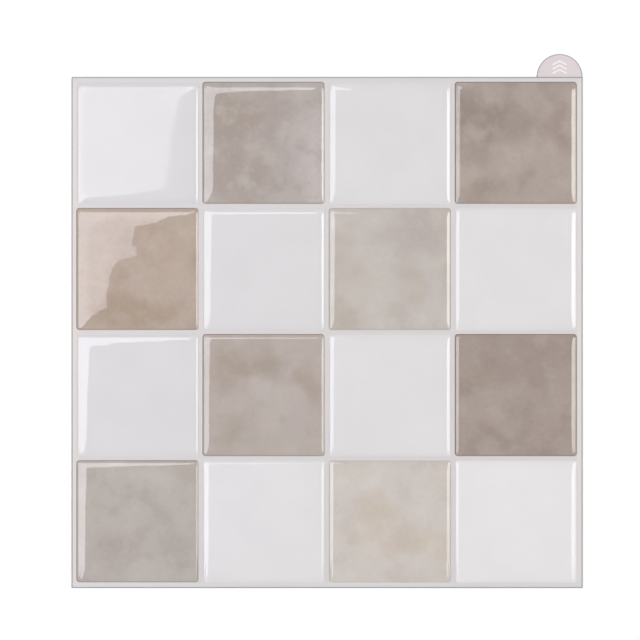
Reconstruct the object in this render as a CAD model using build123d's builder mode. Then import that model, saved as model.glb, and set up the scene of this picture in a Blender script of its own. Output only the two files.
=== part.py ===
"""Peel and stick backsplash tile: a square self-adhesive sheet of poured gel tiles.

The sheet lies face up. Three kinds of piece are stacked:

- release_liner, the siliconised paper that covers the adhesive, with a half-round
  thumb tab that stands out past the sheet's top edge, flush with its right edge;
- backing_film, the printed plastic film that shows as grout between the tiles;
- gel_tile_rR_cC, the domes of resin poured on the film, with rows counted from the
  tab's edge and columns from the left. Each one has the shape of a puddle: flat on top,
  and rounded down to its foot by surface tension.

Millimetres, +Z up. The origin is on the liner's underside, in the middle of the square
sheet. +Y points to the edge with the tab, and +X to the corner that the tab stands at.
"""

import os
from math import cos, log, radians, sin, tan

from build123d import *

# The pattern of tiles
tiles_across = 4
tile_side = 72.7
grout_width = 2.5
border_width = 3.25

# The release liner and its thumb tab
liner_thickness = 0.12
liner_corner_radius = 0.6
tab_radius = 13.7
tab_root_radius = 1.0

# The backing film, die-cut, with its top edge rolled over by the blade
film_thickness = 0.45
film_corner_radius = 0.6
film_edge_roll = 0.25

# The poured gel, as a wide puddle of resin sets: the slope at its foot, the length that
# surface tension rounds its edge over, and the share of the inset that rounds its corners
gel_contact_angle = 46.0
gel_capillary_length = 1.9
gel_corner_radius = 1.6
gel_corner_growth = 0.25

# Slopes at which the gel's edge is drawn, as shares of the slope at its foot
gel_slope_shares = (1.0, 0.76, 0.54, 0.35, 0.2, 0.1, 0.045, 0.018)

tile_pitch = tile_side + grout_width
sheet_side = tiles_across * tile_pitch - grout_width + 2 * border_width
film_top = liner_thickness + film_thickness


def meniscus_height(slope):
    """Height of a wide puddle's surface over its base, where it slopes by that angle."""
    foot_slope = radians(gel_contact_angle)
    return 2 * gel_capillary_length * (sin(foot_slope / 2) - sin(slope / 2))


def meniscus_inset(slope):
    """Distance in from the puddle's foot to where its surface slopes by that angle."""

    def reach(angle):
        return log(tan(angle / 4)) + 2 * cos(angle / 2)

    return gel_capillary_length * (reach(radians(gel_contact_angle)) - reach(slope))


def gel_levels():
    """The (inset, height) of each level of a gel tile, from its foot up to its flat top."""
    slopes = [share * radians(gel_contact_angle) for share in gel_slope_shares]
    return [(meniscus_inset(slope), meniscus_height(slope)) for slope in slopes]


def make_release_liner():
    """A flat sheet with the tab. Its corner beside the tab runs straight into the tab."""
    with BuildPart() as liner:
        with BuildSketch() as outline:
            Rectangle(sheet_side, sheet_side)
            with Locations((sheet_side / 2 - tab_radius, sheet_side / 2)):
                Circle(tab_radius)
            free_corners = [v for v in outline.vertices() if v.X < 0 or v.Y < 0]
            fillet(free_corners, liner_corner_radius)
            tab_root = outline.vertices().filter_by(lambda v: v.X > 0 and v.Y > 0).sort_by(Axis.X)[0]
            fillet(tab_root, tab_root_radius)
        extrude(amount=liner_thickness)
    liner.part.label = "release_liner"
    return liner


def make_backing_film():
    """A flat square that covers the liner, with its upper edge rolled over."""
    with BuildPart() as film:
        with BuildSketch(Plane.XY.offset(liner_thickness)):
            RectangleRounded(sheet_side, sheet_side, film_corner_radius)
        extrude(amount=film_thickness)
        fillet(film.faces().sort_by(Axis.Z)[-1].edges(), film_edge_roll)
    film.part.label = "backing_film"
    return film


def make_gel_tile(row, column):
    """A dome whose corners grow rounder as it rises, because surface tension pulls them in."""
    x = (column - (tiles_across + 1) / 2) * tile_pitch
    y = ((tiles_across + 1) / 2 - row) * tile_pitch
    with BuildPart() as tile:
        for inset, height in gel_levels():
            side = tile_side - 2 * inset
            with BuildSketch(Plane((x, y, film_top + height))):
                RectangleRounded(side, side, gel_corner_radius + gel_corner_growth * inset)
        loft(ruled=True)
    tile.part.label = f"gel_tile_r{row}_c{column}"
    return tile


places = [(row, column) for row in range(1, tiles_across + 1) for column in range(1, tiles_across + 1)]
pieces = [make_release_liner(), make_backing_film()] + [make_gel_tile(*place) for place in places]

os.makedirs("parts", exist_ok=True)
for piece in pieces:
    export_step(piece.part, f"parts/{piece.part.label}.step")
    print(piece.part.label, round(piece.part.volume), "mm3")
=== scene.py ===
"""Looks of the peel and stick backsplash tile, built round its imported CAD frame.

The release liner and the backing film are the CAD nodes with printed finishes. Each gel
tile is replaced by a finer dome of the same size, which follows the curve of a poured
puddle and waves a little, as set resin does, so that a softbox mirrors in it with a
wandering edge. The print under the gel is a stone pattern on eight tiles and white on
the other eight.

Shapes, lamps and relief are in metres. Places, sizes and insets in a finish are in
millimetres. The sheet is seen from straight above.
"""

import math

import bmesh
import bpy
import numpy as np
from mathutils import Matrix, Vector, noise


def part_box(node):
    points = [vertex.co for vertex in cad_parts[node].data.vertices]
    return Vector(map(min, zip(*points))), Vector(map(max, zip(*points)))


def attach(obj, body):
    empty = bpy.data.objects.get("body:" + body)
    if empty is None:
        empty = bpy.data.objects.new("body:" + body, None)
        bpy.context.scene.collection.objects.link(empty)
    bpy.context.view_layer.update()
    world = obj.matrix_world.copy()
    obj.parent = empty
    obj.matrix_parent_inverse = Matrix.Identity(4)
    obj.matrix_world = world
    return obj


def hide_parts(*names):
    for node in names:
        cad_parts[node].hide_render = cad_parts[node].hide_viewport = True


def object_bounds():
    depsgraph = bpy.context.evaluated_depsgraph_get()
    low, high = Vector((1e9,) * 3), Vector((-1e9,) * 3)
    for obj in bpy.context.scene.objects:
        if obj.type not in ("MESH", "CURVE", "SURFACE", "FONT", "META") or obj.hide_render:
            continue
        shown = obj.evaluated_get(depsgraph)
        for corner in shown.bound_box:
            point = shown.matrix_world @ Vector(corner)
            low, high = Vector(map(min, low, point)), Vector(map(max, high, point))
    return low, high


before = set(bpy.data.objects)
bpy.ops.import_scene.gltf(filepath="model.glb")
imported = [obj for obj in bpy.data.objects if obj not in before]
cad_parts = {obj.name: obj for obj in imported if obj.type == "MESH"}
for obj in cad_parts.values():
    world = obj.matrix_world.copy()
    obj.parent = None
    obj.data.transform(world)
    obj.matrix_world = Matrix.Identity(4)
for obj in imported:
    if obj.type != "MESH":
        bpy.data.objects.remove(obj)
cad_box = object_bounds()

MM = 0.001
tiles_across = 4

# The photograph in pixels: its width, the sheet's width, and where the sheet's middle lies
photo_width_px = 640
sheet_width_px = 512
sheet_centre_px = (327.1, 332.5)

# The camera
camera_height = 1.0
sensor_width = 36.0

# The gel's edge: the slope at its foot, and the length that surface tension rounds it over.
# Its curve is worked out at this many points, down to this share of the slope at its foot.
gel_contact_angle = math.radians(46.0)
gel_capillary_length = 1.9 * MM
gel_corner_radius = 1.6 * MM
gel_corner_growth = 0.25
profile_points = 500
flattest_share = 0.001

# The gel mesh: cells along a side, the rings of them in its rounded edge, how wide that
# edge is, how evenly the rings are spaced in it (1 is evenly), and the share of each
# side's cells that goes round the corners
gel_cells = 96
edge_rings = 32
edge_width = 9.0 * MM
ring_evenness = 0.35
corner_share = 0.14

# Waves in the set resin, as (height, length) from slow to quick: over the white print,
# and over the stone print, whose ink has relief. The edge's roundness varies along a side.
white_waves = ((0.026 * MM, 24.0 * MM), (0.010 * MM, 9.0 * MM))
stone_waves = ((0.024 * MM, 26.0 * MM), (0.022 * MM, 11.0 * MM), (0.008 * MM, 4.5 * MM))
edge_variation = 0.08
edge_variation_length = 13.0 * MM

# Where in the noise the edge and each of the waves start, so that they aren't alike
edge_noise_start = 5.0
wave_noise_step = 60.0

# The gel's index of refraction over the white and the stone prints, its roughness, and the
# ripples in its gloss. Two tiles have less gloss on their flat tops, which fades between
# these insets, and one of them has a haze.
white_ior = 1.6
stone_ior = 1.7
gel_roughness = 0.018
ripple_size = 4.0
ripple_depth = 0.0015 * MM
hazy_roughness = {(1, 1): 0.036}
flat_gloss = {(1, 1): 0.56, (2, 1): 0.7}
gloss_insets = {(1, 1): (2.0, 5.0), (2, 1): (4.0, 9.0)}

# The prints: how matt they are, and how far apart in the noise the tiles' patterns lie
print_roughness = 0.6
pattern_spacing = 100.0

# How far the stone prints lie from the middle of their gel, because they are printed a
# little out of register, and how round their corners are. Then the insets between which
# their sharp outline comes in, and between which their dark edge, which is partly the
# print's own and partly painted shade at the gel's foot, turns into the pattern.
print_shift = (-0.35, 0.3, 0.0)
print_corner_radius = 1.8
print_outline_insets = (-0.04, 0.04)
print_edge_shade_insets = (0.3, 0.8)

# The mark on the thumb tab: a stack of chevrons in white ink, this far from the sheet
chevron_count = 3
chevron_width = 8.4 * MM
chevron_rise = 2.2 * MM
chevron_stroke = 1.1 * MM
chevron_pitch = 2.6 * MM
chevron_start = 1.6 * MM
ink_thickness = 0.03 * MM
tab_radius = 13.7 * MM

# Two softboxes. Each is level with the camera, with these corners as seen from above, and
# has a wing that leans down from its outer end, part of the way to the floor. Each has a
# spot where it is dimmest, the distances from it at which it starts to brighten and stops,
# and its radiance there; and the share of that radiance at the wing's low end.
key_outline = [(0.036, 0.4), (0.027, 0.53), (-0.3, 0.58), (-0.5, 0.6), (-0.75, 0.3), (-0.75, -0.3)]
key_outline += [(-0.6, -0.6), (-0.5, -0.6), (-0.365, -0.226), (-0.325, -0.075), (-0.285, 0.0)]
key_outline += [(-0.258, 0.02), (-0.256, 0.058), (-0.25, 0.072), (-0.2245, 0.093), (-0.2225, 0.12)]
key_outline += [(-0.203, 0.134), (-0.187, 0.176), (-0.178, 0.25), (-0.155, 0.3), (-0.105, 0.353)]
key_wing = [(-0.75, 0.31, 1.0), (-0.75, -0.31, 1.0), (-1.0, -0.32, 0.6), (-1.0, 0.32, 0.6)]
key_dim_spot = (0.0, 0.0)
key_gradient = (0.2, 0.4)
key_radiance = (3.1, 3.3)
key_low_share = 1.2
key_colour = (1.0, 1.0, 1.08, 1.0)
side_outline = [(0.51, 0.38), (0.51, -0.5), (0.62, -0.5), (0.8, -0.3), (0.8, 0.3), (0.62, 0.38)]
side_wing = [(0.8, 0.31, 1.0), (0.8, -0.31, 1.0), (1.02, -0.32, 0.6), (1.02, 0.32, 0.6)]
side_dim_spot = (0.9, -1.1)
side_gradient = (0.7, 1.35)
side_radiance = (3.0, 5.6)
side_low_share = 0.8
side_colour = (1.0, 1.0, 0.96, 1.0)

# The room's light: its radiance overhead and at the horizon, and how steeply a ray looks up
# (1 is straight up) where that light starts to dim and where it stops
room_radiance = 0.235
horizon_radiance = 1.0
horizon_band = (0.05, 0.35)

# The floor: its reach, how far it lies under the sheet, its colour, the glow that lifts it
# to white for the camera, and the distances from the sheet's middle at which it goes over
# into plain white
floor_reach = 3.0
floor_drop = 0.02 * MM
floor_colour = (0.9, 0.9, 0.9, 1.0)
floor_lift = 0.16
floor_fade = (260.0, 420.0)

# Colours, as sRGB
film_colour = (217, 213, 211)
# The film's cut edge: a grey line of painted shade, where its rolled edge and its shadow are dark
film_edge_shade_colour = (157, 151, 150)
liner_colour = (225, 214, 215)
# The tab's cut edge: a grey line of painted shade
liner_edge_shade_colour = (165, 162, 161)
ink_colour = (245, 243, 243)
white_colour = (220, 218, 217)

# The white print: its tone in each row and how that grows with each column, which is
# painted light that makes the whites paler toward the lower right; the sizes of its
# clouds and its grain, and how dark they are
white_lit_tones = (1.0, 1.01, 1.03, 1.09)
white_light_step = 0.028
white_cloud_size = 24.0
white_grain_size = 0.9
white_dimming = 0.97

# The film: the sizes of its tones and its grain, how dark the grain is, its relief, and the
# insets between which the grey line of painted shade along its cut edge fades
film_tone_size = 60.0
film_grain_size = 0.5
film_dimming = 0.94
film_roughness = (0.5, 0.6)
film_ior = 1.5
film_relief = 0.004 * MM
film_edge_shade_radius = 1.0
film_edge_shade_insets = (0.35, 1.0)

# Painted light and shade: the film's border is tinted paler than the grout between the
# domes, by a different amount on each side as the lamps light it. The axis, the places
# where the tint starts and where it is full, and the tint
border_light_tints = (
    ("X", -148.5, -149.5, (1.025, 1.012, 0.99)),
    ("X", 148.5, 149.5, (1.03, 1.03, 1.028)),
    ("Y", -148.5, -149.5, (1.01, 1.02, 1.02)),
    ("Y", 148.5, 149.5, (1.0, 1.001, 1.006)),
)

# The liner's paper: how thick its fibres are, their thickness as a share of their length,
# the size of its clouds, how dark both are, its gloss and its relief. Then the grey line of
# painted shade along the tab's cut: the insets where it starts and is full, and the places
# beside the sheet's edge between which it comes in.
fibre_size = 0.45
fibre_slimness = 0.18
liner_cloud_size = 7.0
liner_dimming = 0.93
liner_roughness = (0.38, 0.5)
liner_ior = 1.45
liner_relief = 0.006 * MM
tab_edge_shade_insets = (0.85, 0.35)
tab_edge_shade_start = (-0.5, 0.0)

# The white ink: the size of its thin places, how dark they are, and its roughness
ink_cover_size = 0.8
ink_dimming = 0.92
ink_roughness = 0.4

# The stone prints: the size of the drift that sweeps their clouds about and how far it
# does, and the shares of a cloud's size at which it starts and is full; and the sizes of
# the stone's blushes of colour, its veins and its grain
drift_size = 20.0
drift_reach = 30.0
cloud_ends = (1.45, 0.35)
blush_size = 14.0
vein_size = 15.0
stone_grain_size = 2.4

# Tints, as shares of a print's base colour or of the film's: the clouds in the stone
# prints, the stone's mottling, the darker edge of a print and the sliver of it that shows
# past the gel, both partly the print's own and partly painted shade at the gel's foot,
# and the tone of the film
OLIVE = (0.92, 0.90, 0.865)
UMBER = (0.88, 0.865, 0.855)
MAUVE = (0.94, 0.92, 0.925)
ROSE = (0.93, 0.89, 0.89)
OCHRE = (0.975, 0.95, 0.915)
PALE = (1.07, 1.08, 1.09)
WARM_BLUSH = (0.99, 0.975, 0.94)
PINK_BLUSH = (1.0, 0.98, 1.0)
DARK_MOTTLE = (0.90, 0.89, 0.88)
PALE_MOTTLE = (1.06, 1.07, 1.08)
# The print's darker edge and rim: partly the print's own, partly painted shade at the gel's foot
PRINT_EDGE_AND_SHADE = (0.87, 0.85, 0.83)
PRINT_RIM_AND_SHADE = (0.65, 0.62, 0.60)
FILM_TONE = (1.01, 0.995, 0.995)

# How much darker than the film a print has to be, in levels of red, to have its full rim,
# which is partly painted shade at the gel's foot
full_rim_shade_contrast = 30

# Each stone print: its base colour, how strongly it is mottled, and its clouds as
# (tint, strength, x, y, width, height), from the middle of the tile
stone_prints = {
    (1, 2): ((186, 176, 170), 0.6, [
        (OLIVE, 1.0, -18, 15, 24, 18),
        (UMBER, 0.25, 6, 20, 14, 14),
        (OLIVE, 0.8, -14, -18, 22, 20),
        (MAUVE, 0.4, 12, -2, 8, 26),
        (PALE, 1.0, 31, -12, 13, 34),
    ]),
    (1, 4): ((177, 164, 155), 0.6, [
        (UMBER, 1.0, -21, 14, 23, 15),
        (UMBER, 0.8, -24, 2, 12, 14),
        (UMBER, 0.25, 8, 18, 16, 5),
        (ROSE, 0.6, 26, 8, 7, 14),
        (UMBER, 0.4, 27, 9, 5, 9),
        (PALE, 0.3, 4, -8, 18, 10),
        (OLIVE, 0.7, -22, -28, 14, 8),
        (PALE, 0.2, -26, -8, 8, 10),
    ]),
    (2, 1): ((188, 171, 157), 0.5, [
        (ROSE, 0.35, 2, 20, 5, 10),
        (OLIVE, 0.9, -2, -25, 28, 10),
        (OLIVE, 0.4, -12, -12, 10, 12),
        (OCHRE, 0.2, 24, 14, 14, 20),
    ]),
    (2, 3): ((202, 194, 186), 0.4, [
        (MAUVE, 1.0, 22, 24, 22, 12),
        (MAUVE, 0.6, 14, -4, 8, 18),
        (OLIVE, 0.7, -29, -30, 9, 12),
        (OLIVE, 0.35, -29, 6, 12, 26),
    ]),
    (3, 2): ((188, 177, 169), 0.4, [
        (OLIVE, 1.0, -12, 18, 27, 14),
        (OLIVE, 0.8, 27, 8, 6, 14),
        (OLIVE, 0.5, -22, -24, 16, 10),
        (PALE, 0.3, 2, -6, 14, 10),
    ]),
    (3, 4): ((171, 157, 148), 0.6, [
        (UMBER, 0.3, -8, 20, 32, 16),
        (PALE, 0.3, -20, -6, 12, 9),
        (ROSE, 0.5, 20, 26, 16, 8),
        (ROSE, 0.3, 10, 12, 8, 8),
        (PALE, 0.25, -12, -26, 22, 10),
        (PALE, 0.2, 28, -10, 8, 14),
    ]),
    (4, 1): ((190, 182, 174), 0.5, [
        (MAUVE, 1.0, -13, -13, 16, 8),
        (OLIVE, 0.4, 29, 28, 10, 10),
        (UMBER, 0.4, 23, -16, 12, 7),
        (MAUVE, 0.4, -20, -26, 16, 10),
        (PALE, 0.2, 6, -30, 26, 6),
    ]),
    (4, 3): ((212, 204, 196), 0.35, [
        (OCHRE, 1.0, -11, 4, 15, 12),
        (OCHRE, 1.0, 14, -12, 24, 9),
        (ROSE, 0.3, 8, -34, 10, 5),
    ]),
}


def linear(colour):
    """An sRGB colour, 0 to 255, as the linear colour that a shader takes."""
    shares = [part / 255 for part in colour]
    bent = [s / 12.92 if s <= 0.04045 else ((s + 0.055) / 1.055) ** 2.4 for s in shares]
    return (*bent, 1.0)


def tinted(base, tint):
    """The linear colour of an sRGB base colour that is multiplied by a tint."""
    return linear([min(255, part * share) for part, share in zip(base, tint)])


def dimmed(colour, share):
    """A linear colour with each part multiplied by the share."""
    return tuple(share * part for part in colour[:3]) + (1.0,)


class Finish:
    """A material's node tree, with a short call for each kind of node that the finishes use."""

    def __init__(self, name):
        self.material = bpy.data.materials.new(name)
        self.material.use_nodes = True
        self.tree = self.material.node_tree
        self.shader = self.tree.nodes["Principled BSDF"]

    def feed(self, socket, value):
        """Sets a socket to a value, or links it to another node's output."""
        if isinstance(value, bpy.types.NodeSocket):
            self.tree.links.new(value, socket)
        else:
            socket.default_value = value

    def node(self, kind, inputs, **settings):
        """A new node of that kind, with its inputs by name or number."""
        made = self.tree.nodes.new(kind)
        for name, value in settings.items():
            setattr(made, name, value)
        for key, value in inputs.items():
            self.feed(made.inputs[key], value)
        return made

    def math(self, operation, a, b=0.0):
        return self.node("ShaderNodeMath", {0: a, 1: b}, operation=operation).outputs[0]

    def vector(self, operation, a, b=(0.0, 0.0, 0.0)):
        return self.node("ShaderNodeVectorMath", {0: a, 1: b}, operation=operation).outputs[0]

    def length(self, vector):
        return self.node("ShaderNodeVectorMath", {0: vector}, operation="LENGTH").outputs["Value"]

    def part(self, vector, axis):
        """The vector's part along an axis, which is named X, Y or Z."""
        return self.node("ShaderNodeSeparateXYZ", {0: vector}).outputs[axis]

    def mix(self, share, a, b):
        """Colour a where the share is 0, and colour b where it is 1."""
        return self.node("ShaderNodeMix", {0: share, 6: a, 7: b}, data_type="RGBA").outputs[2]

    def fade(self, value, start, end, low=0.0, high=1.0):
        """Goes smoothly from low to high as the value goes from start to end."""
        inputs = {"Value": value, "From Min": start, "From Max": end, "To Min": low, "To Max": high}
        return self.node("ShaderNodeMapRange", inputs, interpolation_type="SMOOTHSTEP").outputs[0]

    def noise_node(self, vector, size, detail, roughness):
        """Noise with features of about that size, in the vector's own units."""
        inputs = {"Vector": vector, "Scale": 1 / size, "Detail": detail, "Roughness": roughness}
        return self.node("ShaderNodeTexNoise", inputs)

    def noise(self, vector, size, detail=2.0, roughness=0.5):
        """Noise as a number that stays mostly near 0.5, between 0 and 1."""
        return self.noise_node(vector, size, detail, roughness).outputs[0]

    def colour_noise(self, vector, size, detail=2.0, roughness=0.5):
        """Noise as a colour or vector, with parts that differ from each other."""
        return self.noise_node(vector, size, detail, roughness).outputs[1]

    def place(self, centre=(0.0, 0.0, 0.0)):
        """The shaded point in millimetres from that place of the sheet."""
        point = self.node("ShaderNodeTexCoord", {}).outputs["Object"]
        moved = self.vector("SUBTRACT", point, tuple(centre))
        return self.vector("MULTIPLY", moved, (1 / MM,) * 3)

    def inset(self, place, half_side, radius):
        """How far inside a square with round corners the place is, up to the radius."""
        straight = (half_side - radius, half_side - radius, 0.0)
        past = self.vector("SUBTRACT", self.vector("ABSOLUTE", place), straight)
        past = self.vector("MULTIPLY", self.vector("MAXIMUM", past), (1.0, 1.0, 0.0))
        return self.math("SUBTRACT", radius, self.length(past))

    def distance(self, place):
        """How far the place is from its centre, as seen from above."""
        return self.length(self.vector("MULTIPLY", place, (1.0, 1.0, 0.0)))

    def upright(self):
        """The normal of the level sheet, whatever way the shaded surface leans."""
        inputs = {"Vector": (0.0, 0.0, 1.0)}
        kinds = {"vector_type": "NORMAL", "convert_from": "OBJECT", "convert_to": "WORLD"}
        return self.node("ShaderNodeVectorTransform", inputs, **kinds).outputs[0]

    def bump(self, height, depth, normal="Normal"):
        """Relief of that depth, in metres, on one of the shader's normals."""
        made = self.node("ShaderNodeBump", {"Height": height, "Distance": depth, "Strength": 1.0})
        self.feed(self.shader.inputs[normal], made.outputs[0])

    def set(self, **inputs):
        """Sets the shader's inputs, whose names are written with _ for a space."""
        for name, value in inputs.items():
            self.feed(self.shader.inputs[name.replace("_", " ")], value)

    def surface(self, shader):
        """Puts another shader in place of the one that set() sets."""
        self.feed(self.tree.nodes["Material Output"].inputs["Surface"], shader.outputs[0])


def give(piece, finish):
    """Puts the finish on a piece, in place of what it had."""
    piece.data.materials.clear()
    piece.data.materials.append(finish.material)


def gel_finish(name, centre, seed, colour, ior, roughness, gloss):
    """Clear gloss over a print, which colour paints. The print lies flat under the dome."""
    finish = Finish(name)
    place = finish.place(centre)
    around = finish.vector("ADD", place, (0.0, 0.0, pattern_spacing * seed))
    finish.set(
        Base_Color=colour(finish, place, around),
        Roughness=print_roughness,
        Specular_IOR_Level=0.0,
        Coat_Weight=gloss(finish, place),
        Coat_IOR=ior,
        Coat_Roughness=roughness,
        Normal=finish.upright(),
    )
    finish.bump(finish.noise(around, ripple_size), ripple_depth, "Coat Normal")
    return finish


def flat_top_gloss(place_of_tile, half_side):
    """A function that paints how much gloss a tile has: less on some flat tops."""

    def gloss_of(finish, place):
        if place_of_tile not in flat_gloss:
            return 1.0
        start, end = gloss_insets[place_of_tile]
        inset = finish.inset(place, half_side / MM, 2 * end)
        return finish.fade(inset, start, end, 1.0, flat_gloss[place_of_tile])

    return gloss_of


def white_print(tone):
    """A function that paints white with the faintest clouding and a fine grain, at a tone that
    carries painted light.
    """

    def colour_of(finish, place, around):
        base = dimmed(linear(white_colour), tone)
        dim = dimmed(base, white_dimming)
        cloud = finish.noise(around, white_cloud_size, detail=3.0)
        grain = finish.noise(around, white_grain_size)
        clouded = finish.mix(finish.fade(cloud, start=0.3, end=0.7), base, dim)
        return finish.mix(finish.fade(grain, start=0.2, end=0.8, high=0.35), clouded, dim)

    return colour_of


def stone_print(base, mottling, clouds, half_side):
    """A function that paints a stone pattern on the film's colour, darker along its edge, partly as
    painted shade at the gel's foot.
    """

    def colour_of(finish, place, around):
        colour = stone_clouds(finish, place, around, base, clouds)
        colour = stone_mottling(finish, around, base, colour, mottling)
        shifted = finish.vector("SUBTRACT", place, print_shift)
        inset = finish.inset(shifted, half_side / MM, print_corner_radius)
        # The darker edge inside the gel: partly the print's own, partly painted shade at the foot
        edge = finish.fade(inset, *print_edge_shade_insets, low=rim_and_shade_strength(base), high=0.0)
        colour = finish.mix(edge, colour, tinted(base, PRINT_EDGE_AND_SHADE))
        return finish.mix(finish.fade(inset, *print_outline_insets), linear(film_colour), colour)

    return colour_of


def rim_and_shade_strength(base):
    """How much of a dark rim, partly painted shade at the gel's foot, a print of that colour has.
    The palest have next to none.
    """
    return min(1.0, (film_colour[0] - base[0]) / full_rim_shade_contrast)


def stone_clouds(finish, place, around, base, clouds):
    """The stone's base colour with its tinted clouds, whose outlines are swept about."""
    drift = finish.colour_noise(around, drift_size, detail=1.5)
    sweep = finish.vector("SUBTRACT", drift, (0.5,) * 3)
    sweep = finish.vector("MULTIPLY", sweep, (drift_reach, drift_reach, 0.0))
    swept = finish.vector("ADD", place, sweep)
    colour = linear(base)
    for tint, strength, x, y, width, height in clouds:
        offset = finish.vector("SUBTRACT", swept, (x, y, 0.0))
        scaled = finish.vector("MULTIPLY", offset, (1 / width, 1 / height, 0.0))
        share = finish.fade(finish.length(scaled), *cloud_ends, high=strength)
        colour = finish.mix(share, colour, tinted(base, tint))
    return colour


def stone_mottling(finish, around, base, colour, strength):
    """The colour with the stone's warm and pink blushes, its mottles and its grain.

    Each layer is nothing where its noise is in the middle, and full where the noise
    reaches the given level.
    """
    blushes = finish.colour_noise(around, blush_size, detail=5.0, roughness=0.65)
    blush = finish.node("ShaderNodeSeparateColor", {0: blushes}).outputs[0]
    veins = finish.noise(around, vein_size, detail=4.0)
    grain = finish.noise(around, stone_grain_size, detail=2.5, roughness=0.6)
    layers = (
        (blush, 0.3, WARM_BLUSH, 0.5),
        (blush, 0.7, PINK_BLUSH, 0.5),
        (veins, 0.27, DARK_MOTTLE, strength),
        (veins, 0.73, PALE_MOTTLE, strength),
        (grain, 0.2, DARK_MOTTLE, 0.5 * strength),
        (grain, 0.8, PALE_MOTTLE, 0.4 * strength),
    )
    for pattern, full_level, tint, share in layers:
        layer = finish.fade(pattern, start=0.5, end=full_level, high=share)
        colour = finish.mix(layer, colour, tinted(base, tint))
    return colour


def film_finish(half_side):
    """Satin printed film, the colour of grout, with a grey line of painted shade along its die-cut
    edge.
    """
    finish = Finish("grout_film")
    place = finish.place()
    base = linear(film_colour)
    tone = finish.noise(place, film_tone_size, detail=3.0)
    grain = finish.noise(place, film_grain_size, detail=3.0)
    toned = finish.fade(tone, start=0.35, end=0.65)
    colour = finish.mix(toned, base, tinted(film_colour, FILM_TONE))
    speckled = finish.fade(grain, start=0.4, end=0.8, high=0.4)
    colour = finish.mix(speckled, colour, dimmed(base, film_dimming))
    # Painted light: each side of the border tinted as the lamps light it
    for axis, start, end, tint in border_light_tints:
        border = finish.fade(finish.part(place, axis), start, end)
        colour = finish.mix(border, colour, tinted(film_colour, tint))
    # The stone prints' dark slivers past the gel, partly painted shade at its foot
    colour = stone_print_rims_and_shade(finish, colour)
    # A grey line of painted shade along the film's cut edge
    inset = finish.inset(place, half_side / MM, film_edge_shade_radius)
    unshaded = finish.fade(inset, *film_edge_shade_insets)
    glossiest, dullest = film_roughness
    finish.set(
        Base_Color=finish.mix(unshaded, linear(film_edge_shade_colour), colour),
        Roughness=finish.fade(grain, start=0.3, end=0.7, low=glossiest, high=dullest),
        IOR=film_ior,
    )
    finish.bump(grain, film_relief)
    return finish


def stone_print_rims_and_shade(finish, colour):
    """The colour with the dark slivers of the stone prints that show past their gel, partly painted
    shade at its foot.
    """
    for (row, column), (base, _, _) in stone_prints.items():
        low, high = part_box(f"gel_tile_r{row}_c{column}")
        place = finish.vector("SUBTRACT", finish.place((low + high) / 2), print_shift)
        inset = finish.inset(place, (high.x - low.x) / 2 / MM, print_corner_radius)
        # The dark sliver past the gel: partly the print's own, partly painted shade at the foot
        rim = finish.fade(inset, *print_outline_insets, high=rim_and_shade_strength(base))
        colour = finish.mix(rim, colour, tinted(base, PRINT_RIM_AND_SHADE))
    return colour


def liner_finish():
    """Siliconised paper: a faint sheen over short fibres that lie along it and across."""
    finish = Finish("liner_paper")
    place = finish.place()
    along = finish.vector("MULTIPLY", place, (1.0, fibre_slimness, 1.0))
    across = finish.vector("MULTIPLY", place, (fibre_slimness, 1.0, 1.0))
    upward = finish.noise(along, fibre_size, detail=3.0)
    sideways = finish.noise(across, fibre_size, detail=3.0)
    fibres = finish.math("MAXIMUM", upward, sideways)
    cloud = finish.noise(place, liner_cloud_size, detail=3.0)
    base = linear(liner_colour)
    dim = dimmed(base, liner_dimming)
    colour = finish.mix(finish.fade(fibres, start=0.5, end=0.75, high=0.5), base, dim)
    colour = finish.mix(finish.fade(cloud, start=0.35, end=0.7, high=0.4), colour, dim)
    # A grey line of painted shade round the tab's cut edge
    colour = finish.mix(tab_edge_shade(finish), colour, linear(liner_edge_shade_colour))
    glossiest, dullest = liner_roughness
    finish.set(
        Base_Color=colour,
        Roughness=finish.fade(fibres, start=0.4, end=0.8, low=glossiest, high=dullest),
        IOR=liner_ior,
    )
    finish.bump(fibres, liner_relief)
    return finish


def tab_edge_shade(finish):
    """How near the point is to the cut that goes round the tab, from 0 to 1: where a grey line of
    painted shade goes.
    """
    _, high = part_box("release_liner")
    from_tab = finish.place((high.x - tab_radius, high.y - tab_radius, 0.0))
    start, end = (tab_radius / MM - inset for inset in tab_edge_shade_insets)
    ring = finish.fade(finish.distance(from_tab), start, end)
    outside = finish.fade(finish.part(from_tab, "Y"), *tab_edge_shade_start)
    return finish.math("MULTIPLY", ring, outside)


def ink_finish():
    """White ink, a little uneven where the screen laid it down."""
    finish = Finish("white_ink")
    cover = finish.noise(finish.place(), ink_cover_size, detail=3.0)
    base = linear(ink_colour)
    colour = finish.mix(finish.fade(cover, start=0.4, end=0.8), base, dimmed(base, ink_dimming))
    finish.set(Base_Color=colour, Roughness=ink_roughness)
    return finish


def meniscus():
    """How a wide puddle's surface rises: distances in from its foot, and heights there."""
    slopes = np.geomspace(gel_contact_angle, gel_contact_angle * flattest_share, profile_points)
    reach = np.log(np.tan(slopes / 4)) + 2 * np.cos(slopes / 2)
    insets = gel_capillary_length * (reach[0] - reach)
    heights = 2 * gel_capillary_length * (np.sin(gel_contact_angle / 2) - np.sin(slopes / 2))
    return insets, heights


def ring_insets(half_side):
    """How far in from the foot each ring of the gel mesh is, close together at the foot."""
    shares = np.linspace(0, 1, edge_rings + 1)
    edge = edge_width * (ring_evenness * shares + (1 - ring_evenness) * shares**2)
    inner_rings = gel_cells // 2 - edge_rings
    return np.concatenate([edge, np.linspace(edge_width, half_side, inner_rings + 1)[1:]])


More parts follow.
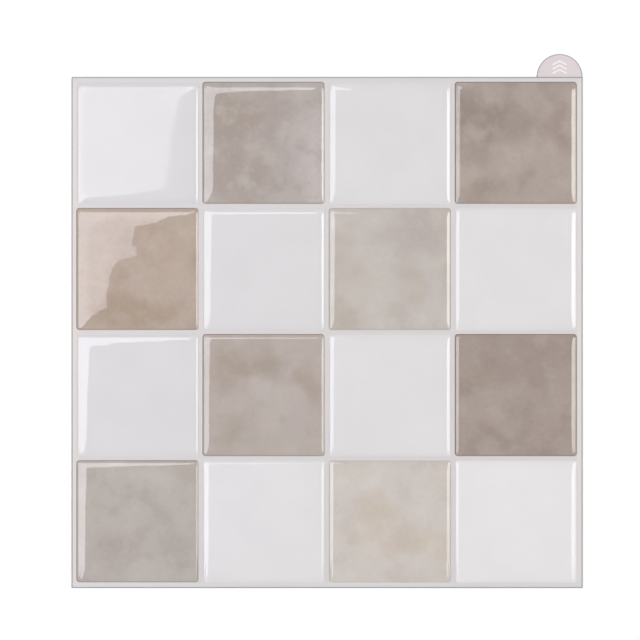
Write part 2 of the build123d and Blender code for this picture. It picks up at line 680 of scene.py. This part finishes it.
def rounded_square_point(inset, half_side, turn):
    """A point on the rounded square that lies so far in. Turn is -1 to 1 along its +X side."""
    half = half_side - inset
    radius = min(gel_corner_radius + gel_corner_growth * inset, half)
    straight = 1 - corner_share
    if abs(turn) <= straight:
        return half, (half - radius) * turn / straight
    angle = (abs(turn) - straight) / corner_share * math.pi / 4
    y = half - radius + radius * math.sin(angle)
    return half - radius + radius * math.cos(angle), math.copysign(y, turn)


def gel_point(u, v, insets, half_side):
    """Where the mesh cell corner u, v lies, and its inset. Both are counted from the middle."""
    ring = max(abs(u), abs(v))
    inset = insets[gel_cells // 2 - ring]
    if ring == 0:
        return 0.0, 0.0, inset
    if abs(u) == ring:
        x, y = rounded_square_point(inset, half_side, v / ring)
        return math.copysign(x, u), y, inset
    x, y = rounded_square_point(inset, half_side, u / ring)
    return y, math.copysign(x, v), inset


def gel_height(x, y, inset, rise, waves, seed, profile):
    """Height of the gel over the film: the puddle's profile, with its waves."""
    here = Vector((x, y, 0.0)) / edge_variation_length + Vector((0, 0, edge_noise_start + seed))
    steepened = inset * (1 + edge_variation * noise.noise(here))
    share = float(np.interp(steepened, *profile)) / profile[1][-1]
    top = rise
    for number, (height, length) in enumerate(waves, 1):
        start = Vector((0, 0, wave_noise_step * number + seed))
        top += height * (noise.noise(Vector((x, y, 0.0)) / length + start) - 1)
    return share * top


def gel_dome(node, waves, seed):
    """A closed dome in the space of that CAD node."""
    low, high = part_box(node)
    centre = (low + high) / 2
    half_side = (high.x - low.x) / 2
    insets = ring_insets(half_side)
    profile = meniscus()
    span = range(-gel_cells // 2, gel_cells // 2 + 1)
    mesh = bmesh.new()
    grid = {}
    for v in span:
        for u in span:
            x, y, inset = gel_point(u, v, insets, half_side)
            z = gel_height(x, y, inset, high.z - low.z, waves, seed, profile)
            grid[u, v] = mesh.verts.new((centre.x + x, centre.y + y, low.z + z))
    for v in span[:-1]:
        for u in span[:-1]:
            corners = ((u, v), (u + 1, v), (u + 1, v + 1), (u, v + 1))
            mesh.faces.new([grid[corner] for corner in corners]).smooth = True
    first, last = span[0], span[-1]
    rim = [(u, first) for u in span] + [(last, v) for v in span[1:]]
    rim += [(u, last) for u in span[-2::-1]] + [(first, v) for v in span[-2:0:-1]]
    base = mesh.faces.new([grid[spot] for spot in reversed(rim)])
    for edge in base.edges:
        edge.smooth = False
    return finish_mesh(mesh, node.replace("tile", "dome"))


def finish_mesh(mesh, name):
    """The bmesh as an object of the scene."""
    data = bpy.data.meshes.new(name)
    mesh.to_mesh(data)
    mesh.free()
    piece = bpy.data.objects.new(name, data)
    bpy.context.scene.collection.objects.link(piece)
    return piece


def prism(name, outlines, low, high):
    """A closed mesh with level faces, one body for each outline, which turns anticlockwise."""
    mesh = bmesh.new()
    for outline in outlines:
        under = [mesh.verts.new((x, y, low)) for x, y in outline]
        over = [mesh.verts.new((x, y, high)) for x, y in outline]
        mesh.faces.new(over)
        mesh.faces.new(reversed(under))
        for i, j in zip(range(-1, len(outline) - 1), range(len(outline))):
            mesh.faces.new((under[i], under[j], over[j], over[i]))
    return finish_mesh(mesh, name)


def tab_mark():
    """Chevrons that point out along the thumb tab."""
    _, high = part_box("release_liner")
    x = high.x - tab_radius
    half = chevron_width / 2
    outlines = []
    for index in range(chevron_count):
        foot = high.y - tab_radius + chevron_start + index * chevron_pitch
        lower = [(x - half, foot), (x, foot + chevron_rise), (x + half, foot)]
        upper = [(point_x, point_y + chevron_stroke) for point_x, point_y in reversed(lower)]
        outlines.append(lower + upper)
    return prism("tab_print", outlines, high.z, high.z + ink_thickness)


def softbox(name, outline, wing, dim_spot, gradient, radiance, low_share, colour):
    """A lamp that only light rays see, brighter away from its dim spot."""
    finish = Finish(name)
    near, far = (distance / MM for distance in gradient)
    from_spot = finish.distance(finish.place((*dim_spot, 0.0)))
    strength = finish.fade(from_spot, near, far, *radiance)
    bottom, top = wing[-1][2] / MM, camera_height / MM
    share = finish.fade(finish.part(finish.place(), "Z"), bottom, top, low_share, 1.0)
    strength = finish.math("MULTIPLY", strength, share)
    finish.surface(finish.node("ShaderNodeEmission", {"Color": colour, "Strength": strength}))
    mesh = bmesh.new()
    level = [(x, y, camera_height) for x, y in outline]
    for corners in (level, wing):
        mesh.faces.new([mesh.verts.new(corner) for corner in corners])
    made = finish_mesh(mesh, name)
    give(made, finish)
    made.visible_camera = False


def floor():
    """A pale floor that the camera sees as white, with the object's shadow on it."""
    mesh = bmesh.new()
    bmesh.ops.create_grid(mesh, x_segments=1, y_segments=1, size=floor_reach)
    made = finish_mesh(mesh, "floor")
    made.location.z = -floor_drop
    finish = Finish("floor")
    seen = finish.node("ShaderNodeLightPath", {}).outputs["Is Camera Ray"]
    matt = finish.node("ShaderNodeBsdfDiffuse", {"Color": floor_colour})
    lift = finish.node("ShaderNodeEmission", {"Strength": finish.math("MULTIPLY", seen, floor_lift)})
    lit = finish.node("ShaderNodeAddShader", {0: matt.outputs[0], 1: lift.outputs[0]})
    white = finish.node("ShaderNodeEmission", {"Strength": 1.0})
    far = finish.fade(finish.length(finish.place()), *floor_fade)
    inputs = {0: finish.math("MULTIPLY", seen, far), 1: lit.outputs[0], 2: white.outputs[0]}
    finish.surface(finish.node("ShaderNodeMixShader", inputs))
    give(made, finish)


def room():
    """White where the camera looks past the floor. For the light, pale at the horizon, dim above."""
    world = bpy.data.worlds.new("room")
    bpy.context.scene.world = world
    world.use_nodes = True
    nodes, links = world.node_tree.nodes, world.node_tree.links
    background = nodes["Background"]
    direction = nodes.new("ShaderNodeTexCoord").outputs["Generated"]
    parts = nodes.new("ShaderNodeSeparateXYZ")
    links.new(direction, parts.inputs[0])
    band = nodes.new("ShaderNodeMapRange")
    band.interpolation_type = "SMOOTHSTEP"
    band.inputs["From Min"].default_value, band.inputs["From Max"].default_value = horizon_band
    band.inputs["To Min"].default_value = horizon_radiance
    band.inputs["To Max"].default_value = room_radiance
    links.new(parts.outputs[2], band.inputs["Value"])
    seen = nodes.new("ShaderNodeLightPath").outputs["Is Camera Ray"]
    strength = nodes.new("ShaderNodeMix")
    links.new(seen, strength.inputs[0])
    links.new(band.outputs[0], strength.inputs[2])
    strength.inputs[3].default_value = 1.0
    links.new(strength.outputs[0], background.inputs["Strength"])
    background.inputs["Color"].default_value = (1.0, 1.0, 1.0, 1.0)


def camera():
    """Looks straight down, with the sheet where the photograph has it."""
    low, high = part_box("backing_film")
    pixel = (high.x - low.x) / sheet_width_px
    data = bpy.data.cameras.new("camera")
    data.sensor_width = sensor_width
    data.lens = sensor_width * camera_height / (pixel * photo_width_px)
    made = bpy.data.objects.new("camera", data)
    middle = photo_width_px / 2
    x = (middle - sheet_centre_px[0]) * pixel
    y = (sheet_centre_px[1] - middle) * pixel
    made.location = (x, y, cad_box[1].z + camera_height)
    bpy.context.scene.collection.objects.link(made)
    bpy.context.scene.camera = made


def dress_tile(row, column):
    """One gel tile as a fine dome, with its own print."""
    node = f"gel_tile_r{row}_c{column}"
    seed = tiles_across * row + column
    low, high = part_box(node)
    half_side = (high.x - low.x) / 2
    if (row, column) in stone_prints:
        dome = gel_dome(node, stone_waves, seed)
        colour = stone_print(*stone_prints[row, column], half_side)
        ior = stone_ior
    else:
        dome = gel_dome(node, white_waves, seed)
        # The tone grows toward the lower right: painted light
        colour = white_print(white_lit_tones[row - 1] + white_light_step * column)
        ior = white_ior
    roughness = hazy_roughness.get((row, column), gel_roughness)
    gloss = flat_top_gloss((row, column), half_side)
    name = f"gel_r{row}_c{column}"
    give(dome, gel_finish(name, (low + high) / 2, seed, colour, ior, roughness, gloss))
    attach(dome, "root")
    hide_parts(node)


def dress_sheet():
    """The film and the liner keep their CAD meshes, and the tab gets its mark."""
    low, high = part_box("backing_film")
    give(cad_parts["backing_film"], film_finish((high.x - low.x) / 2))
    give(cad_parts["release_liner"], liner_finish())
    mark = tab_mark()
    give(mark, ink_finish())
    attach(mark, "root")


camera()
room()
floor()
key_light = (key_dim_spot, key_gradient, key_radiance, key_low_share, key_colour)
softbox("key_lamp", key_outline, key_wing, *key_light)
side_light = (side_dim_spot, side_gradient, side_radiance, side_low_share, side_colour)
softbox("side_lamp", side_outline, side_wing, *side_light)
dress_sheet()
for tile_row in range(1, tiles_across + 1):
    for tile_column in range(1, tiles_across + 1):
        dress_tile(tile_row, tile_column)
bpy.context.scene.view_settings.view_transform = "Standard"
